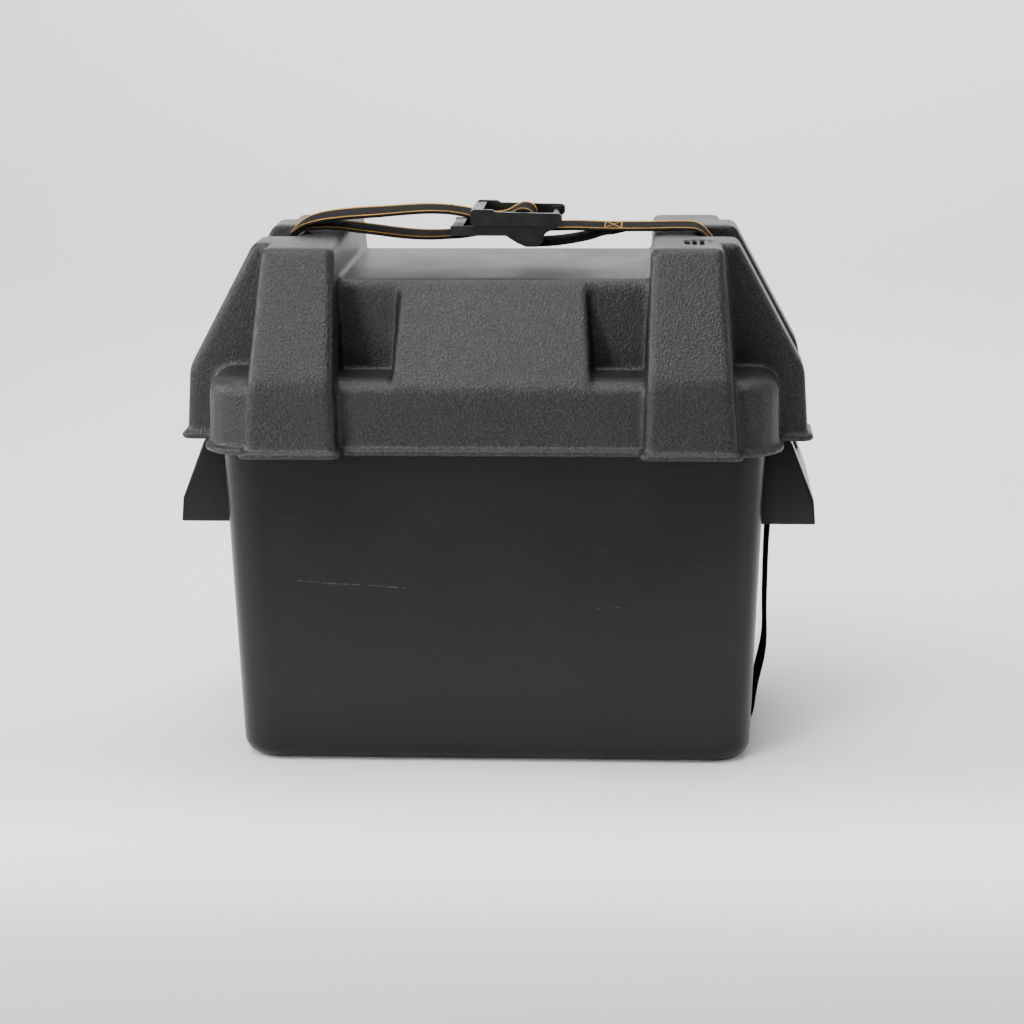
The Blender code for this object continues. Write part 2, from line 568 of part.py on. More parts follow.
def build():
    clear_scene()
    poly = material("black_polypropylene", (0.030, 0.030, 0.032), 0.42)
    grain = material("grained_polypropylene", (0.045, 0.045, 0.047), 0.55)
    web = material("webbing", (0.016, 0.016, 0.018), 0.85)
    nylon = material("buckle_nylon", (0.020, 0.022, 0.026), 0.38)
    case = material("case_plastic", (0.055, 0.056, 0.060), 0.45)
    cap = material("cap_plastic", (0.020, 0.020, 0.022), 0.5)
    lead = material("lead", (0.32, 0.33, 0.35), 0.55, 0.9)
    oxide = material("lead_dioxide", (0.10, 0.055, 0.035), 0.9)
    steel = material("stainless_steel", (0.60, 0.60, 0.60), 0.3, 1.0)
    box_base(poly)
    box_lid(grain)
    webbing(web)
    buckle(nylon, steel)
    battery_case(case)
    battery_cover(case)
    elements(lead, oxide)
    vent_bar("vent_bar_left", (0, 1, 2), cap)
    vent_bar("vent_bar_right", (3, 4, 5), cap)
    terminal("negative", cell_centre(0), lead, steel)
    terminal("positive", cell_centre(CELLS - 1), lead, steel)
    for name in ("strap_left", "strap_tail"):
        set_origin(name, -HINGE_X, 0, HINGE_Z)
    for name in ("strap_right", "buckle_frame", "buckle_pin", "strap_frame_run"):
        set_origin(name, HINGE_X, 0, HINGE_Z)
    for name in ("buckle_lever", "strap_lever_loop"):
        set_origin(name, PIVOT[0], 0, PIVOT[1])
    for tag, i in (("negative", 0), ("positive", CELLS - 1)):
        set_origin(f"wing_nut_{tag}", cell_centre(i), POST_Y, COVER_TOP)


build()
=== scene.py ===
"""Looks of the strapped battery box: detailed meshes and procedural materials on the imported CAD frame."""

import json
import math

import bmesh
import bpy
import numpy as np
from mathutils import Euler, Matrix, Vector


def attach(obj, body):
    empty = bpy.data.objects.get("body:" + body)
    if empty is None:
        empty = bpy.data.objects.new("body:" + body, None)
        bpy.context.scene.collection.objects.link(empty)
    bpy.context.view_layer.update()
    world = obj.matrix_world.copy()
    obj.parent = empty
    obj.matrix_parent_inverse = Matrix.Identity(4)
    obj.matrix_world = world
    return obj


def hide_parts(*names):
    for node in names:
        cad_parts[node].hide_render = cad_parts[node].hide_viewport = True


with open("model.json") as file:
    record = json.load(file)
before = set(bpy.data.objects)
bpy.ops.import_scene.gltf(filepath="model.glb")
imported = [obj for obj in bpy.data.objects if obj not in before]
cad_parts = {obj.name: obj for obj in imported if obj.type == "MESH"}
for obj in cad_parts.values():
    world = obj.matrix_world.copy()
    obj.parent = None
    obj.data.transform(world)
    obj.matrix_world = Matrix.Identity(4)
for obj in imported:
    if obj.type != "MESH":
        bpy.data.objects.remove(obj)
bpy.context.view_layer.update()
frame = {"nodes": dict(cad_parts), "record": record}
NODES = frame["nodes"]
MM = 0.001

# ---------------------------------------------------------------- sizes shared with the CAD, mm
TUB_HX, TUB_HY = 137.0, 91.5
DRAFT_X, DRAFT_Y = 6.5 / 160.0, 5.0 / 160.0
TUB_TOP, TUB_WALL, TUB_FLOOR = 202.0, 3.0, 5.6
TUB_CORNER_R, TUB_FOOT_R = 20.0, 10.0
WING_HY, WING_WALL, SLOT_HY = 54.0, 3.0, 29.0
HINGE_X, HINGE_Z = 155.6, 170.0
WEB_W, WEB_T = 37.8, 1.5
CELL_PITCH = 251.0 / 6 - 10.0 / 6 + 2.0
POST_X, POST_Y = 2.5 * CELL_PITCH, -55.0


# ---------------------------------------------------------------- node helpers
def new_material(name):
    mat = bpy.data.materials.new(name)
    mat.use_nodes = True
    tree = mat.node_tree
    return mat, tree, tree.nodes["Principled BSDF"]


def node(tree, kind):
    return tree.nodes.new(kind)


def link(tree, a, b):
    tree.links.new(a, b)


def coords(tree, output="Object"):
    return node(tree, "ShaderNodeTexCoord").outputs[output]


def noise(tree, vector, scale, detail=3.0, rough=0.5):
    tex = node(tree, "ShaderNodeTexNoise")
    tex.inputs["Scale"].default_value = scale
    tex.inputs["Detail"].default_value = detail
    tex.inputs["Roughness"].default_value = rough
    link(tree, vector, tex.inputs["Vector"])
    return tex.outputs["Fac"]


def cells(tree, vector, scale, feature="SMOOTH_F1"):
    tex = node(tree, "ShaderNodeTexVoronoi")
    tex.feature = feature
    tex.inputs["Scale"].default_value = scale
    link(tree, vector, tex.inputs["Vector"])
    return tex.outputs["Distance"]


def ramp(tree, value, low, high, a, b):
    """Maps value from low..high to a..b, clamped."""
    made = node(tree, "ShaderNodeMapRange")
    for key, v in zip(("From Min", "From Max", "To Min", "To Max"), (low, high, a, b)):
        made.inputs[key].default_value = v
    link(tree, value, made.inputs["Value"])
    return made.outputs["Result"]


def maths(tree, operation, a, b=None):
    made = node(tree, "ShaderNodeMath")
    made.operation = operation
    for i, v in enumerate((a, b)):
        if v is None:
            continue
        if isinstance(v, (int, float)):
            made.inputs[i].default_value = v
        else:
            link(tree, v, made.inputs[i])
    return made.outputs["Value"]


def mix(tree, factor, a, b):
    made = node(tree, "ShaderNodeMix")
    made.data_type = "RGBA"
    for key, v in (("A", a), ("B", b)):
        socket = [s for s in made.inputs if s.name == key and s.type == "RGBA"][0]
        if isinstance(v, tuple):
            socket.default_value = (*v, 1.0)
        else:
            link(tree, v, socket)
    link(tree, factor, made.inputs["Factor"])
    return [s for s in made.outputs if s.type == "RGBA"][0]


def bump(tree, shader, height, strength, distance):
    made = node(tree, "ShaderNodeBump")
    made.inputs["Strength"].default_value = strength
    made.inputs["Distance"].default_value = distance
    link(tree, height, made.inputs["Height"])
    link(tree, made.outputs["Normal"], shader.inputs["Normal"])


def stretched(tree, vector, scale):
    made = node(tree, "ShaderNodeMapping")
    made.inputs["Scale"].default_value = scale
    link(tree, vector, made.inputs["Vector"])
    return made.outputs["Vector"]


# ---------------------------------------------------------------- materials
def grained_plastic():
    """Moulded polypropylene with a fine pebble grain, painted lighter on its raised pebbles and darker in
    its pits.
    """
    mat, tree, shader = new_material("grained_polypropylene")
    at = coords(tree)
    pebble = cells(tree, at, 980.0)
    fine = noise(tree, at, 1900.0, 2.0, 0.6)
    broad = noise(tree, at, 28.0, 3.0, 0.5)
    height = maths(tree, "ADD", maths(tree, "MULTIPLY", pebble, 0.8), maths(tree, "MULTIPLY", fine, 0.5))
    bump(tree, shader, height, 1.0, 0.00032)
    # Base colour follows the grain's height: painted highlight on the raised pebbles and painted shade in
    # the pits between them.
    pebble_light_and_shade = ramp(tree, height, 0.35, 0.85, 0.0, 1.0)
    tone = mix(tree, pebble_light_and_shade, (0.002, 0.002, 0.0021), (0.028, 0.028, 0.029))
    dust = ramp(tree, broad, 0.45, 0.75, 0.0, 0.12)
    link(tree, mix(tree, dust, tone, (0.026, 0.026, 0.0255)), shader.inputs["Base Color"])
    link(tree, ramp(tree, broad, 0.3, 0.7, 0.36, 0.44), shader.inputs["Roughness"])
    shader.inputs["Specular IOR Level"].default_value = 0.36
    return mat


def scuff(tree, at, x0, x1, z0, slope, width):
    """Mask of one thin, broken scuff line on the front wall, in metres."""
    parts = node(tree, "ShaderNodeSeparateXYZ")
    link(tree, at, parts.inputs[0])
    x, y, z = parts.outputs
    line = maths(tree, "ADD", maths(tree, "MULTIPLY", maths(tree, "SUBTRACT", x, x0), slope), z0)
    wander = maths(tree, "MULTIPLY", maths(tree, "SUBTRACT", noise(tree, at, 40.0), 0.5), 0.002)
    off = maths(tree, "ABSOLUTE", maths(tree, "SUBTRACT", z, maths(tree, "ADD", line, wander)))
    on_line = ramp(tree, off, 0.0, width, 1.0, 0.0)
    inside = maths(tree, "MULTIPLY", maths(tree, "GREATER_THAN", x, x0), maths(tree, "LESS_THAN", x, x1))
    front = maths(tree, "LESS_THAN", y, -0.08)
    broken = ramp(tree, noise(tree, at, 180.0, 2.0), 0.42, 0.58, 0.0, 1.0)
    shown = maths(tree, "MULTIPLY", front, broken)
    return maths(tree, "MULTIPLY", maths(tree, "MULTIPLY", on_line, inside), shown)


def satin_plastic():
    """Smooth polypropylene with faint flow marks, dust specks and a few scuffs."""
    mat, tree, shader = new_material("satin_polypropylene")
    at = coords(tree)
    broad = noise(tree, at, 14.0, 3.0, 0.5)
    fine = noise(tree, at, 900.0, 2.0, 0.5)
    specks = ramp(tree, cells(tree, at, 95.0, "F1"), 0.0, 0.035, 1.0, 0.0)
    hair = ramp(tree, noise(tree, stretched(tree, at, (60.0, 60.0, 900.0)), 1.0, 1.0), 0.70, 0.78, 0.0, 1.0)
    marks = maths(tree, "MAXIMUM", scuff(tree, at, -0.104, -0.046, 0.101, -0.06, 0.00045),
                  scuff(tree, at, 0.052, 0.071, 0.086, 0.12, 0.0003))
    flow = ramp(tree, broad, 0.3, 0.7, 0.0, 1.0)
    tone = mix(tree, flow, (0.0065, 0.0065, 0.0068), (0.0085, 0.0085, 0.0088))
    tone = mix(tree, maths(tree, "MULTIPLY", specks, 0.35), tone, (0.10, 0.10, 0.10))
    tone = mix(tree, maths(tree, "MULTIPLY", hair, 0.05), tone, (0.12, 0.12, 0.12))
    tone = mix(tree, maths(tree, "MULTIPLY", marks, 0.38), tone, (0.16, 0.16, 0.16))
    link(tree, tone, shader.inputs["Base Color"])
    link(tree, ramp(tree, broad, 0.3, 0.7, 0.27, 0.34), shader.inputs["Roughness"])
    height = maths(tree, "ADD", maths(tree, "MULTIPLY", broad, 1.2), maths(tree, "MULTIPLY", fine, 0.05))
    bump(tree, shader, height, 0.25, 0.0006)
    shader.inputs["Specular IOR Level"].default_value = 0.22
    return mat


def webbing_material():
    """Black webbing with gold edge stripes; u runs along, v across, both in metres."""
    mat, tree, shader = new_material("striped_webbing")
    uv = coords(tree, "UV")
    parts = node(tree, "ShaderNodeSeparateXYZ")
    link(tree, uv, parts.inputs[0])
    u, v = parts.outputs[0], parts.outputs[1]
    across = maths(tree, "ABSOLUTE", v)
    gold = maths(tree, "MULTIPLY", ramp(tree, across, 0.0141, 0.0144, 0.0, 1.0),
                 ramp(tree, across, 0.0174, 0.0177, 1.0, 0.0))
    attr = node(tree, "ShaderNodeAttribute")
    attr.attribute_name = "gold"
    gold = maths(tree, "MULTIPLY", gold, attr.outputs["Fac"])
    diagonal = maths(tree, "ADD", maths(tree, "MULTIPLY", u, 1 / 0.0016),
                     maths(tree, "MULTIPLY", across, 1 / 0.0024))
    twill = maths(tree, "PINGPONG", diagonal, 0.5)
    ends = maths(tree, "PINGPONG", maths(tree, "MULTIPLY", v, 1 / 0.0011), 0.5)
    weave = maths(tree, "ADD", twill, maths(tree, "MULTIPLY", ends, 0.6))
    fibre = noise(tree, stretched(tree, uv, (900.0, 5200.0, 1.0)), 1.0, 2.0, 0.6)
    raised = ramp(tree, weave, 0.1, 0.75, 0.0, 1.0)
    black = mix(tree, raised, (0.0025, 0.0022, 0.0022), (0.013, 0.0115, 0.011))
    yellow = mix(tree, ramp(tree, weave, 0.1, 0.7, 0.0, 1.0), (0.16, 0.06, 0.006), (0.92, 0.52, 0.08))
    tone = mix(tree, gold, black, yellow)
    tone = mix(tree, ramp(tree, fibre, 0.55, 0.8, 0.0, 0.25), tone, (0.05, 0.045, 0.04))
    link(tree, tone, shader.inputs["Base Color"])
    shader.inputs["Roughness"].default_value = 0.78
    shader.inputs["Specular IOR Level"].default_value = 0.06
    height = maths(tree, "ADD", weave, maths(tree, "MULTIPLY", fibre, 0.5))
    bump(tree, shader, height, 0.7, 0.00025)
    return mat


def nylon():
    """Semi-gloss injection moulded nylon with faint flow marks."""
    mat, tree, shader = new_material("buckle_nylon")
    at = coords(tree)
    broad = noise(tree, at, 120.0, 3.0, 0.6)
    fine = noise(tree, at, 2600.0, 2.0, 0.6)
    tone = mix(tree, ramp(tree, broad, 0.3, 0.7, 0.0, 1.0), (0.004, 0.0042, 0.0045), (0.009, 0.0095, 0.0102))
    link(tree, tone, shader.inputs["Base Color"])
    link(tree, ramp(tree, broad, 0.3, 0.7, 0.28, 0.42), shader.inputs["Roughness"])
    bump(tree, shader, maths(tree, "ADD", broad, maths(tree, "MULTIPLY", fine, 0.3)), 0.25, 0.0002)
    return mat


def speckled(name, dark, light, rough, scale, metallic=0.0, depth=0.0002, strength=0.4):
    """General cast or moulded surface: two tones, uneven roughness and a little relief."""
    mat, tree, shader = new_material(name)
    at = coords(tree)
    broad = noise(tree, at, scale, 4.0, 0.6)
    fine = noise(tree, at, scale * 14.0, 2.0, 0.6)
    blend = maths(tree, "ADD", maths(tree, "MULTIPLY", broad, 0.7), maths(tree, "MULTIPLY", fine, 0.3))
    link(tree, mix(tree, ramp(tree, blend, 0.35, 0.65, 0.0, 1.0), dark, light), shader.inputs["Base Color"])
    link(tree, ramp(tree, broad, 0.3, 0.7, rough - 0.06, rough + 0.08), shader.inputs["Roughness"])
    shader.inputs["Metallic"].default_value = metallic
    bump(tree, shader, blend, strength, depth)
    return mat


def turned_steel():
    """Stainless steel with fine circumferential tool marks."""
    mat, tree, shader = new_material("stainless_steel")
    at = coords(tree)
    lines = noise(tree, stretched(tree, at, (60.0, 60.0, 5200.0)), 1.0, 2.0, 0.6)
    broad = noise(tree, at, 160.0, 3.0, 0.5)
    link(tree, mix(tree, ramp(tree, broad, 0.3, 0.7, 0.0, 1.0), (0.50, 0.50, 0.51), (0.66, 0.66, 0.66)),
         shader.inputs["Base Color"])
    link(tree, ramp(tree, lines, 0.3, 0.7, 0.20, 0.38), shader.inputs["Roughness"])
    shader.inputs["Metallic"].default_value = 1.0
    bump(tree, shader, lines, 0.2, 0.0001)
    return mat


# ---------------------------------------------------------------- mesh helpers
def link_object(name, mesh, mats=()):
    for m in mats:
        mesh.materials.append(m)
    obj = bpy.data.objects.new(name, mesh)
    bpy.context.scene.collection.objects.link(obj)
    return obj


def finish_bmesh(name, bm, mats=(), smooth=True, angle=40):
    bmesh.ops.recalc_face_normals(bm, faces=bm.faces)
    bmesh.ops.scale(bm, vec=Vector((MM, MM, MM)), verts=bm.verts)
    mesh = bpy.data.meshes.new(name)
    bm.to_mesh(mesh)
    bm.free()
    if smooth:
        mesh.shade_smooth()
        mesh.set_sharp_from_angle(angle=math.radians(angle))
    return link_object(name, mesh, mats)


def evaluated(obj):
    """Bakes an object's modifiers into its mesh."""
    bpy.context.view_layer.update()
    graph = bpy.context.evaluated_depsgraph_get()
    mesh = bpy.data.meshes.new_from_object(obj.evaluated_get(graph))
    obj.modifiers.clear()
    obj.data = mesh
    return obj


def moulded_copy(name, source, voxel, passes, keep):
    """Fine copy of a CAD node with its edges and inner corners rounded as moulding rounds them.

    keep(points) gives 0..1 for each point: how far smoothing may act there.
    """
    copy = link_object(name, NODES[source].data.copy())
    remesh = copy.modifiers.new("remesh", "REMESH")
    remesh.mode = "VOXEL"
    remesh.voxel_size = voxel * MM
    evaluated(copy)
    count = len(copy.data.vertices)
    points = np.empty(count * 3, np.float32)
    copy.data.vertices.foreach_get("co", points)
    weight = keep(points.reshape(-1, 3) / MM)
    group = copy.vertex_groups.new(name="smooth")
    for level in np.unique(np.round(weight, 1)):
        members = np.flatnonzero(np.round(weight, 1) == level)
        if level > 0:
            group.add(members.tolist(), float(level), "REPLACE")
    smooth = copy.modifiers.new("smooth", "SMOOTH")
    smooth.factor = 0.5
    smooth.iterations = passes
    smooth.vertex_group = "smooth"
    evaluated(copy)
    copy.data.shade_smooth()
    return copy


def rounded(hx, hy, r, z, steps=12):
    """Points of a rectangle with round corners, at one height."""
    out = []
    for k, (cx, cy) in enumerate(((1, 1), (-1, 1), (-1, -1), (1, -1))):
        for i in range(steps + 1):
            a = math.radians(90 * (k + i / steps))
            out.append((cx * (hx - r) + r * math.cos(a), cy * (hy - r) + r * math.sin(a), z))
    return out


def skin(bm, rings):
    """Faces between rings of equal count, closed at both ends."""
    count = len(rings[0])
    for a, b in zip(rings, rings[1:]):
        for i in range(count):
            j = (i + 1) % count
            bm.faces.new((a[i], a[j], b[j], b[i]))
    bm.faces.new(list(reversed(rings[0])))
    bm.faces.new(rings[-1])


def prism(name, outline, y0, y1, mats=()):
    bm = bmesh.new()
    skin(bm, [[bm.verts.new((x, y, z)) for x, z in outline] for y in (y0, y1)])
    return finish_bmesh(name, bm, mats, smooth=False)


def block(name, x, y, z, mats=()):
    return prism(name, ((x[0], z[0]), (x[1], z[0]), (x[1], z[1]), (x[0], z[1])), y[0], y[1], mats)


def combine(target, others, operation):
    for other in others:
        mod = target.modifiers.new("bool", "BOOLEAN")
        mod.operation = operation
        mod.solver = "EXACT"
        mod.object = other
        evaluated(target)
        bpy.data.objects.remove(other, do_unlink=True)
    return target


def add_bevel(obj, width, segments=3, angle=30):
    bevel = obj.modifiers.new("bevel", "BEVEL")
    bevel.width = width * MM
    bevel.segments = segments
    bevel.limit_method = "ANGLE"
    bevel.angle_limit = math.radians(angle)
    bevel.harden_normals = False
    return obj


def turned(name, profile, x, y, mats, sides=64, angle=30):
    """Profile of (radius, height) points turned about an upright axis."""
    bm = bmesh.new()
    rings = [[bm.verts.new((x + r * math.cos(a), y + r * math.sin(a), z))
              for a in (2 * math.pi * i / sides for i in range(sides))] for r, z in profile]
    skin(bm, rings)
    return finish_bmesh(name, bm, mats, angle=angle)


# ---------------------------------------------------------------- tub
def tub_ring(z, grow=0.0):
    r = TUB_CORNER_R + min(grow, 0.0)
    return rounded(TUB_HX + DRAFT_X * z + grow, TUB_HY + DRAFT_Y * z + grow, r, z)


def tub(mat):
    """Tapered tub with rounded foot and rim, drawn as one shell, and its two grips."""
    bm = bmesh.new()
    foot = TUB_FOOT_R
    rings = []
    for i in range(9):
        a = math.radians(90 * i / 8)
        rings.append(tub_ring(foot * (1 - math.cos(a)), -foot * (1 - math.sin(a))))
    rings += [tub_ring(z) for z in np.linspace(foot + 4, TUB_TOP - 1.2, 24)]
    rings += [tub_ring(TUB_TOP - 0.35, -0.35), tub_ring(TUB_TOP, -1.2), tub_ring(TUB_TOP, -TUB_WALL + 1.2),
              tub_ring(TUB_TOP - 0.35, -TUB_WALL + 0.35)]
    rings += [tub_ring(z, -TUB_WALL) for z in np.linspace(TUB_TOP - 1.2, TUB_FLOOR + 4.0, 18)]
    rings += [tub_ring(TUB_FLOOR + 1.2, -TUB_WALL - 1.2), tub_ring(TUB_FLOOR, -TUB_WALL - 4.0)]
    skin(bm, [[bm.verts.new(p) for p in ring] for ring in rings])
    body = finish_bmesh("tub_shell", bm, (mat,), angle=50)
    groove = block("groove", (-160, 160), (-22, 22), (-1.0, 2.6))
    combine(body, [groove], "DIFFERENCE")
    body.data.shade_smooth()
    body.data.set_sharp_from_angle(angle=math.radians(40))
    pieces = [body]
    for side, tag in ((-1, "left"), (1, "right")):
        pieces.append(grip(side, tag, mat))
    return pieces


def grip(side, tag, mat):
    """Hood shaped strap grip: sloped outer wall, two cheeks, open below, slotted for the strap."""
    outer = ((142.6, 187.0), (146.0, 187.0), (159.0, 168.0), (171.0, 137.0), (172.0, 124.0), (141.2, 124.0))
    inner = ((140.0, 120.0), (140.0, 182.4), (144.6, 182.4), (156.6, 166.4), (168.0, 136.4), (169.1, 120.0))
    slot = ((139.0, 200.0), (139.0, 150.0), (166.0, 150.0), (166.0, 200.0))
    body = prism(f"grip_{tag}", [(side * x, z) for x, z in outer], -WING_HY, WING_HY, (mat,))
    cut = prism("cut", [(side * x, z) for x, z in inner], -WING_HY + WING_WALL, WING_HY - WING_WALL)
    gap = prism("gap", [(side * x, z) for x, z in slot], -SLOT_HY, SLOT_HY)
    combine(body, [cut, gap], "DIFFERENCE")
    add_bevel(body, 1.2, 4)
    evaluated(body)
    body.data.shade_smooth()
    body.data.set_sharp_from_angle(angle=math.radians(45))
    return body


# ---------------------------------------------------------------- webbing
def curve_through(points, step=0.8):
    """Even steps along a smooth curve through the points, and the run length at each."""
    pts = [Vector(p) for p in points]
    dense = []
    for i in range(len(pts) - 1):
        p0, p1, p2, p3 = pts[max(i - 1, 0)], pts[i], pts[i + 1], pts[min(i + 2, len(pts) - 1)]
        for k in range(24):
            t = k / 24
            dense.append(0.5 * ((2 * p1) + (p2 - p0) * t + (2 * p0 - 5 * p1 + 4 * p2 - p3) * t * t
                                + (3 * p1 - p0 - 3 * p2 + p3) * t ** 3))
    dense.append(pts[-1])
    flat = np.array([(p.x, p.y) for p in dense])
    run = np.concatenate([[0], np.cumsum(np.linalg.norm(np.diff(flat, axis=0), axis=1))])
    want = np.linspace(0, run[-1], max(3, int(run[-1] / step)))
    return np.stack([np.interp(want, run, flat[:, 0]), np.interp(want, run, flat[:, 1])], axis=1), want


def webbing(name, path, mat, roll=None, gold=None, pointed=False):
    """Woven band along a path in X, Z, with ribbed faces and rounded selvages.

    roll(s, length) tilts the band about its own length in degrees; gold(s, length) is 1 where the
    edge stripes are woven in and 0 where they aren't.
    """
    line, run = curve_through(path)
    length = run[-1]
    along = np.gradient(line, axis=0)
    along /= np.linalg.norm(along, axis=1)[:, None]
    columns = 52
    half, thick = WEB_W / 2, WEB_T / 2
    v = np.linspace(-1, 1, columns)
    profile = []
    for sign, order in ((1, v), (-1, v[::-1])):
        for t in order:
            edge = max(0.0, (abs(t) - 0.955) / 0.045)
            swell = 1.0 + 0.10 * math.exp(-((abs(t) - 0.90) / 0.05) ** 2)
            h = thick * swell * math.sqrt(max(0.0, 1 - edge ** 2)) * sign
            profile.append((t * half, h))
    profile = np.array(profile)
    rib = 0.055 * np.cos(profile[:, 0] * 2 * math.pi / 2.2) * np.sign(profile[:, 1])
    verts, uvs = [], []
    for k, (p, t, s) in enumerate(zip(line, along, run)):
        n = np.array((-t[1], t[0]))
        angle = math.radians(roll(s, length)) if roll else 0.0
        weave = 0.045 * np.cos(2 * math.pi * s / 1.7 + np.abs(profile[:, 0]) * 2.1) * np.sign(profile[:, 1])
        y = profile[:, 0] * 1.0
        h = profile[:, 1] + (rib + weave) * (np.abs(profile[:, 1]) > 0.3)
        if pointed:
            y = y * min(1.0, 0.25 + (length - s) / 9.0)
        yy = y * math.cos(angle) - h * math.sin(angle)
        hh = y * math.sin(angle) + h * math.cos(angle)
        verts.append(np.stack([p[0] + n[0] * hh, yy, p[1] + n[1] * hh], axis=1))
        uvs.append(np.stack([np.full(len(y), s), profile[:, 0]], axis=1))
    verts = np.concatenate(verts) * MM
    uvs = np.concatenate(uvs) * MM
    rows, count = len(line), len(profile)
    i, j = np.meshgrid(np.arange(rows - 1), np.arange(count), indexing="ij")
    nxt = (j + 1) % count
    quads = np.stack([i * count + j, i * count + nxt, (i + 1) * count + nxt, (i + 1) * count + j], -1)
    quads = quads.reshape(-1, 4)
    faces = quads.tolist() + [list(range(count))[::-1], [(rows - 1) * count + k for k in range(count)]]
    mesh = bpy.data.meshes.new(name)
    mesh.from_pydata(verts.tolist(), [], faces)
    layer = mesh.uv_layers.new(name="UVMap")
    index = np.empty(len(mesh.loops), np.int32)
    mesh.loops.foreach_get("vertex_index", index)
    layer.data.foreach_set("uv", uvs[index].astype(np.float32).ravel())
    attr = mesh.attributes.new("gold", "FLOAT", "POINT")
    level = np.array([gold(s, length) if gold else 1.0 for s in run], np.float32)
    attr.data.foreach_set("value", np.repeat(level, count))
    bm = bmesh.new()
    bm.from_mesh(mesh)
    bmesh.ops.recalc_face_normals(bm, faces=bm.faces)
    bm.to_mesh(mesh)
    bm.free()
    mesh.shade_smooth()
    return link_object(name, mesh, (mat,))


# The tail's twist in degrees, and the length of plain webbing under the sewn loop in mm.
TAIL_TWIST, PLAIN_END = 2.2, 62
SIDE_RUN = ((HINGE_X, HINGE_Z + 0.2), (HINGE_X - 0.3, 190), (HINGE_X - 1.2, 205), (151.2, 213), (136, 238.0),
            (121.4, 262.4), (115.4, 271.6), (108.2, 278.3))


def straps(mat):
    made = {}
    right = ((130, 1.25), (134.6, 1.9), (138.6, 4.8), (140.6, 10.5), (142.6, 24), (146.9, 46), (146.9, 73),
             (147.9, 112), (151.5, 142), (HINGE_X - 0.1, HINGE_Z - 0.2))
    left = ((-130, 1.25), (-134.6, 1.9), (-138.6, 4.8), (-140.6, 10.5), (-141.6, 40), (-143.8, 90),
            (-145.4, 120), (-151.0, 145), (-HINGE_X + 0.1, HINGE_Z - 0.2))
    under = tuple((x, 1.25) for x in (-90, -45, 0, 45, 90))
    made["base"] = [webbing("web_base", tuple(reversed(left)) + under + right, mat)]
    load = tuple((-x, z) for x, z in SIDE_RUN) + ((-99, 279.6), (-88, 279.4), (-73, 277.6), (-52, 275.0),
                                                  (-38, 274.3), (-27.1, 274.8))
    tail = ((-131.5, 250.0), (-123.6, 262.8), (-116.6, 273.4), (-108.5, 280.6), (-98, 284.0), (-84, 285.8),
            (-66, 287.0), (-42, 288.6), (-27.1, 288.2))
    made["strap_left_half"] = [
        webbing("web_left", load, mat),
        webbing("web_tail", tail, mat, roll=lambda s, n: TAIL_TWIST * math.sin(math.pi * s / n))]
    loop = ((98, 279.3), (80, 279.0), (60, 279.0), (42, 279.5), (30, 279.3), (22, 278.9), (17.4, 278.5),
            (14.1, 276.6), (13.7, 273.6), (15.8, 271.1), (20, 270.6), (33, 271.4), (48, 274.0), (57, 276.8),
            (62, 277.2), (68.5, 277.2))
    frame_run = ((-27.0, 274.8), (-20, 275.2), (-12, 276.4), (-5.0, 277.7))
    made["strap_right_half"] = [
        webbing("web_right", SIDE_RUN + loop, mat, gold=lambda s, n: 1.0 if s < n - PLAIN_END else 0.0,
                pointed=True),
        webbing("web_frame_run", frame_run, mat)]
    over = ((-27.0, 288.1), (-20, 287.0), (-12, 285.2), (-4, 284.4), (3, 285.4), (8.2, 288.2), (12.6, 289.9),
            (17.0, 288.6), (18.6, 285.0), (16.4, 282.0), (9, 280.4), (0, 279.2), (-4.9, 278.2))
    made["lever"] = [webbing("web_lever_loop", over, mat)]
    return made


def seam(mat):
    """Two bar tacks and a cross of thread where the looped end is sewn to the strap."""
    start, width, half_length, stitch, thread_r, top = 57.5, 9.0, 15.0, 0.06, 0.3, 279.85
    bm = bmesh.new()
    rows = [((start, y), (start, y + 2.0)) for y in np.arange(-15.5, 14.0, 3.0)]
    rows += [((start + width, y), (start + width, y + 2.0)) for y in np.arange(-15.5, 14.0, 3.0)]
    for flip in (-1, 1):
        for t in np.arange(0.02, 0.94, 0.1):
            rows.append([(start + width * f, flip * (-half_length + 2 * half_length * f))
                         for f in (t, t + stitch)])
    for (x0, y0), (x1, y1) in rows:
        made = bmesh.ops.create_icosphere(bm, subdivisions=2, radius=1.0)["verts"]
        angle = math.atan2(y1 - y0, x1 - x0)
        half = math.hypot(x1 - x0, y1 - y0) / 2 + 0.25
        for v in made:
            a, b = v.co.x * half, v.co.y * 0.32
            v.co = Vector(((x0 + x1) / 2 + a * math.cos(angle) - b * math.sin(angle),
                           (y0 + y1) / 2 + a * math.sin(angle) + b * math.cos(angle),
                           top + v.co.z * thread_r))
    return finish_bmesh("seam_thread", bm, (mat,))


# ---------------------------------------------------------------- stage
WORLD = 0.25
# The paper sweep, mm: half its width, its front edge, where it starts to rise, the bend and its top.
SWEEP_HALF, SWEEP_FRONT, SWEEP_BACK, SWEEP_R, SWEEP_TOP = 6000.0, -5000.0, 1800.0, 1200.0, 6000.0
# Angles in degrees, the rest in metres but for the lens, which is in millimetres.
CAMERA_AZIMUTH, CAMERA_ELEVATION, CAMERA_ROLL = 3.12, 12.44, -0.34
CAMERA_DISTANCE, CAMERA_TARGET, CAMERA_LENS = 1.6, (0.00532, 0.0, 0.11824), 100.29
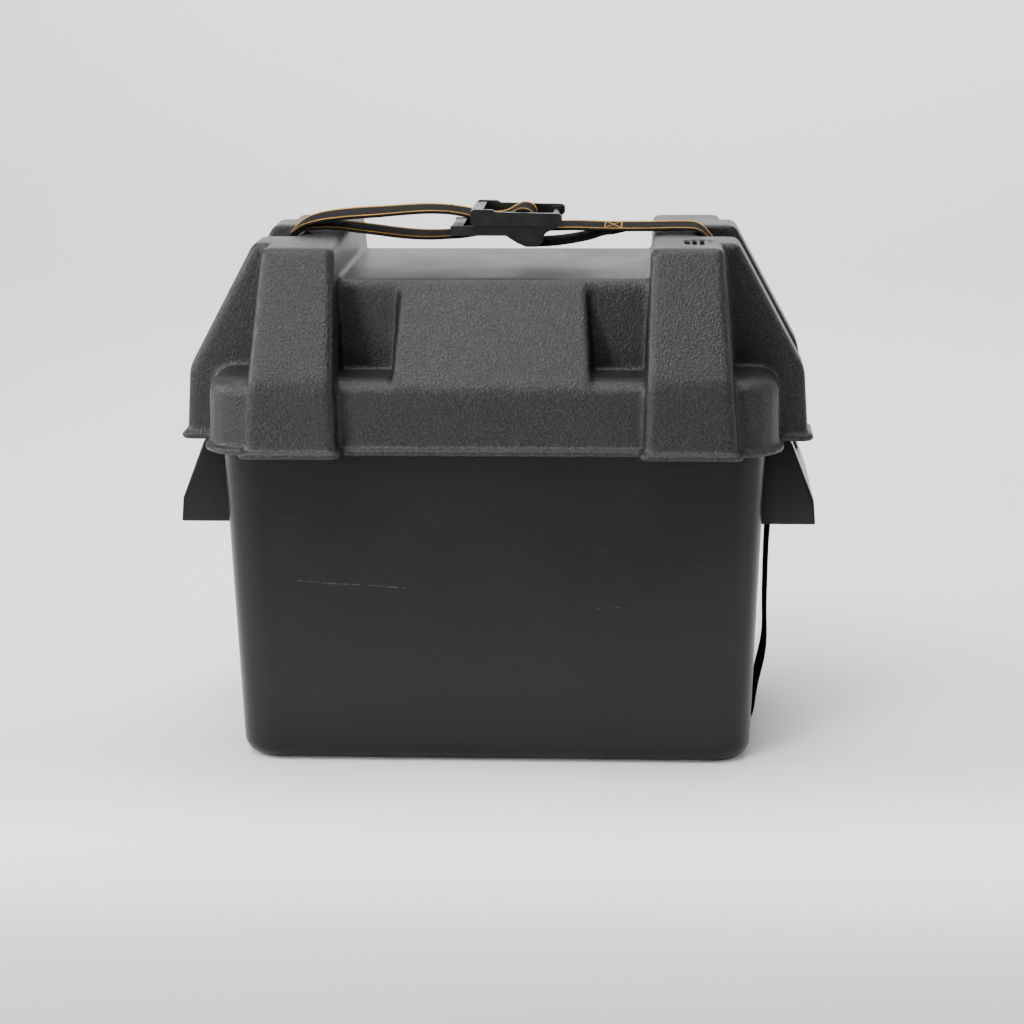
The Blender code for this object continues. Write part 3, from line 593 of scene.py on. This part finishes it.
# Name, place, point it faces, width and height, spread of the beam, power in watts.
LIGHTS = (
    ("overhead", (0.0, 0.35, 1.9), (0.0, 0.35, 0.0), (1.8, 1.0), 60, 5.0),
    ("slope", (-0.55, -1.15, 2.1), (0.0, 0.0, 0.2), (1.8, 0.8), 55, 6.2),
    ("left", (-1.9, -0.1, 0.9), (0.0, 0.0, 0.15), (0.5, 1.2), 70, 6.5),
    ("right", (1.9, -0.1, 0.9), (0.0, 0.0, 0.15), (0.5, 1.2), 70, 1.6),
    ("low_front", (-1.3, -1.9, 0.7), (0.0, 0.0, 0.2), (0.8, 0.5), 40, 2.2),
    ("backdrop", (0.0, 1.2, 2.4), (0.0, 3.0, 0.7), (3.0, 0.8), 120, 74.0),
    ("near_floor", (0.0, -0.32, 1.5), (0.0, -0.24, 0.0), (1.4, 0.12), 10, 0.6),
    ("back_floor", (0.0, 1.1, 1.6), (0.0, 0.9, 0.0), (2.6, 0.8), 80, 9.0),
)


def paper_sweep():
    """Pale floor that runs up into a pale wall."""
    bm = bmesh.new()
    rows = []
    for x in (-SWEEP_HALF, SWEEP_HALF):
        row = [(x, SWEEP_FRONT, 0.0), (x, SWEEP_BACK, 0.0)]
        row += [(x, SWEEP_BACK + SWEEP_R * math.sin(a), SWEEP_R * (1 - math.cos(a)))
                for a in (math.radians(90 * i / 24) for i in range(1, 25))]
        row.append((x, SWEEP_BACK + SWEEP_R, SWEEP_TOP))
        rows.append([bm.verts.new(p) for p in row])
    for i in range(len(rows[0]) - 1):
        bm.faces.new((rows[0][i], rows[1][i], rows[1][i + 1], rows[0][i + 1]))
    mat, _, shader = new_material("studio_paper")
    shader.inputs["Base Color"].default_value = (0.86, 0.86, 0.86, 1.0)
    shader.inputs["Roughness"].default_value = 0.9
    floor = finish_bmesh("studio_floor", bm, (mat,))


def lights():
    """Dim even surroundings and the large soft lights."""
    world = bpy.data.worlds.new("studio")
    bpy.context.scene.world = world
    world.use_nodes = True
    world.node_tree.nodes["Background"].inputs[0].default_value = (1.0, 1.0, 1.0, 1.0)
    world.node_tree.nodes["Background"].inputs[1].default_value = WORLD
    for name, place, aim, size, spread, power in LIGHTS:
        light = bpy.data.lights.new(name, "AREA")
        light.shape = "RECTANGLE"
        light.size, light.size_y = size
        light.energy = power
        light.spread = math.radians(spread)
        lamp = bpy.data.objects.new(name, light)
        lamp.location = place
        lamp.rotation_euler = (Vector(place) - Vector(aim)).to_track_quat("Z", "Y").to_euler()
        bpy.context.scene.collection.objects.link(lamp)


def camera():
    """Camera a little above the box and a little to its right."""
    lens = bpy.data.cameras.new("camera")
    lens.sensor_width = 36.0
    lens.lens = CAMERA_LENS
    lens.clip_end = 30.0
    eye = bpy.data.objects.new("camera", lens)
    azimuth, elevation, roll = (math.radians(a) for a in (CAMERA_AZIMUTH, CAMERA_ELEVATION, CAMERA_ROLL))
    back = Vector((math.sin(azimuth) * math.cos(elevation), -math.cos(azimuth) * math.cos(elevation),
                   math.sin(elevation)))
    eye.location = Vector(CAMERA_TARGET) + back * CAMERA_DISTANCE
    look = back.to_track_quat("Z", "Y").to_matrix()
    eye.rotation_euler = (look @ Euler((0, 0, roll)).to_matrix()).to_euler()
    bpy.context.scene.collection.objects.link(eye)
    bpy.context.scene.camera = eye


# ---------------------------------------------------------------- battery top
def copied(source, mat, width):
    """Copy of a CAD node with its edges rounded, standing in for it."""
    copy = link_object(f"{source}_detail", NODES[source].data.copy())
    copy.data.materials.clear()
    copy.data.materials.append(mat)
    return evaluated(add_bevel(copy, width))


def joined(target, others):
    """Adds the other meshes to the target's."""
    bm = bmesh.new()
    bm.from_mesh(target.data)
    for other in others:
        bm.from_mesh(other.data)
        bpy.data.objects.remove(other, do_unlink=True)
    bm.to_mesh(target.data)
    bm.free()
    return target


def stud(tag, x, mat):
    """Stud with a thread of 1.25 mm pitch."""
    sides, pitch, turns = 48, 1.25, 14
    profile = [(4.0, 200.3), (4.0, 213.4)]
    bm = bmesh.new()
    rings = [[bm.verts.new((x + r * math.cos(a), POST_Y + r * math.sin(a), z))
              for a in (2 * math.pi * i / sides for i in range(sides))] for r, z in profile]
    z0, step = 213.6, pitch / 4
    for k in range(int(turns * 4)):
        ring = []
        for i in range(sides):
            a = 2 * math.pi * i / sides
            phase = (k / 4 - i / sides) % 1.0
            r = 3.95 - 0.6 * abs(2 * phase - 1)
            z = min(z0 + k * step, 230.4)
            ring.append(bm.verts.new((x + r * math.cos(a), POST_Y + r * math.sin(a), z)))
        if z0 + k * step > 230.0:
            break
        rings.append(ring)
    rings.append([bm.verts.new((x + 3.0 * math.cos(a), POST_Y + 3.0 * math.sin(a), 231.0))
                  for a in (2 * math.pi * i / sides for i in range(sides))])
    skin(bm, rings)
    return finish_bmesh(f"stud_{tag}_thread", bm, (mat,), angle=50)


def battery_top(materials):
    """Cover with moulded polarity marks, gang caps with vent domes, and threaded studs."""
    cover = copied("battery_cover", materials["case_plastic"], 0.7)
    marks = []
    for side in (-1, 1):
        x, y = side * (POST_X - 24.0), POST_Y
        marks.append(block("mark", (x - 5, x + 5), (y - 1.2, y + 1.2), (199.0, 200.8)))
        if side > 0:
            marks.append(block("mark", (x - 1.2, x + 1.2), (y - 5, y - 1.2), (199.0, 200.8)))
            marks.append(block("mark", (x - 1.2, x + 1.2), (y + 1.2, y + 5), (199.0, 200.8)))
        marks.append(block("rib", (side * 66 - 55, side * 66 + 55), (24, 25.5), (199.0, 200.9)))
        marks.append(block("rib", (side * 66 - 55, side * 66 + 55), (66, 67.5), (199.0, 200.9)))
    joined(cover, marks)
    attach(cover, "base")
    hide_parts("battery_cover")
    for tag, cells_of in (("left", (0, 1, 2)), ("right", (3, 4, 5))):
        bar = copied(f"vent_bar_{tag}", materials["cap_plastic"], 0.5)
        domes = []
        for i in cells_of:
            x = (i - 2.5) * CELL_PITCH
            dome = ((8.6, 207.0), (8.6, 208.2), (8.2, 208.7), (2.4, 209.3), (1.9, 209.2), (1.3, 208.6),
                    (1.3, 207.0))
            domes.append(turned("dome", dome, x, 0.0, (materials["cap_plastic"],)))
        joined(bar, domes)
        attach(bar, f"vent_bar_{tag}")
        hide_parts(f"vent_bar_{tag}")
    for tag, side in (("negative", -1), ("positive", 1)):
        piece = stud(tag, side * POST_X, materials["steel"])
        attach(piece, "base")
        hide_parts(f"stud_{tag}")


# ---------------------------------------------------------------- assembly
def dress_cad(materials):
    """CAD nodes that are shown as they are: their materials and small edge rounding."""
    widths = {"buckle_frame": 0.5, "buckle_lever": 0.6, "buckle_pin": 0.4, "battery_case": 0.8,
              "wing_nut_negative": 0.5, "wing_nut_positive": 0.5}
    slot_of = {s["node"]: s["material_slot"] for s in frame["record"]["subparts"]}
    for name, obj in NODES.items():
        slot = slot_of.get(name)
        if slot not in materials:
            continue
        obj.data.materials.clear()
        obj.data.materials.append(materials[slot])
        if name in widths:
            add_bevel(obj, widths[name])


def lid_keep(p):
    """How far smoothing acts at each point of the lid: little at the rim bead and the vents."""
    weight = np.ones(len(p))
    weight[p[:, 2] < 176.5] = 0.1
    x, y = np.abs(p[:, 0]), np.abs(p[:, 1])
    vents = (np.abs(y - 51.5) < 12.5) & (np.abs(x - 107.8) < 9.0) & (p[:, 2] > 270)
    weight[vents] = 0.2
    return weight


def main():
    grained, satin, web = grained_plastic(), satin_plastic(), webbing_material()
    materials = {
        "tub_plastic": satin, "lid_plastic": grained, "webbing": web, "buckle_plastic": nylon(),
        "case_plastic": speckled("case_plastic", (0.045, 0.046, 0.050), (0.065, 0.066, 0.071), 0.45, 60.0),
        "cap_plastic": speckled("cap_plastic", (0.016, 0.016, 0.018), (0.026, 0.026, 0.029), 0.5, 90.0),
        "lead": speckled("cast_lead", (0.22, 0.23, 0.25), (0.40, 0.41, 0.43), 0.55, 160.0, 0.9, 0.0003),
        "positive_plate": speckled("pasted_plate", (0.07, 0.035, 0.022), (0.13, 0.070, 0.045), 0.9, 220.0),
        "steel": turned_steel(),
    }
    dress_cad(materials)
    for piece in tub(satin):
        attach(piece, "base")
        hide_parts("box_base")

    lid = moulded_copy("lid_moulding", "box_lid", 1.0, 18, lid_keep)
    lid.data.materials.clear()
    lid.data.materials.append(grained)
    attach(lid, "lid")
    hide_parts("box_lid")
    stands_for = {"web_base": "strap_base", "web_left": "strap_left", "web_tail": "strap_tail",
                  "web_right": "strap_right", "web_frame_run": "strap_frame_run",
                  "web_lever_loop": "strap_lever_loop"}
    for body, bands in straps(web).items():
        for band in bands:
            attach(band, body)
            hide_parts(stands_for[band.name])
    thread = seam(speckled("gold_thread", (0.35, 0.16, 0.02), (0.65, 0.33, 0.05), 0.6, 400.0))
    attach(thread, "strap_right_half")
    battery_top(materials)
    paper_sweep()
    lights()
    camera()


main()
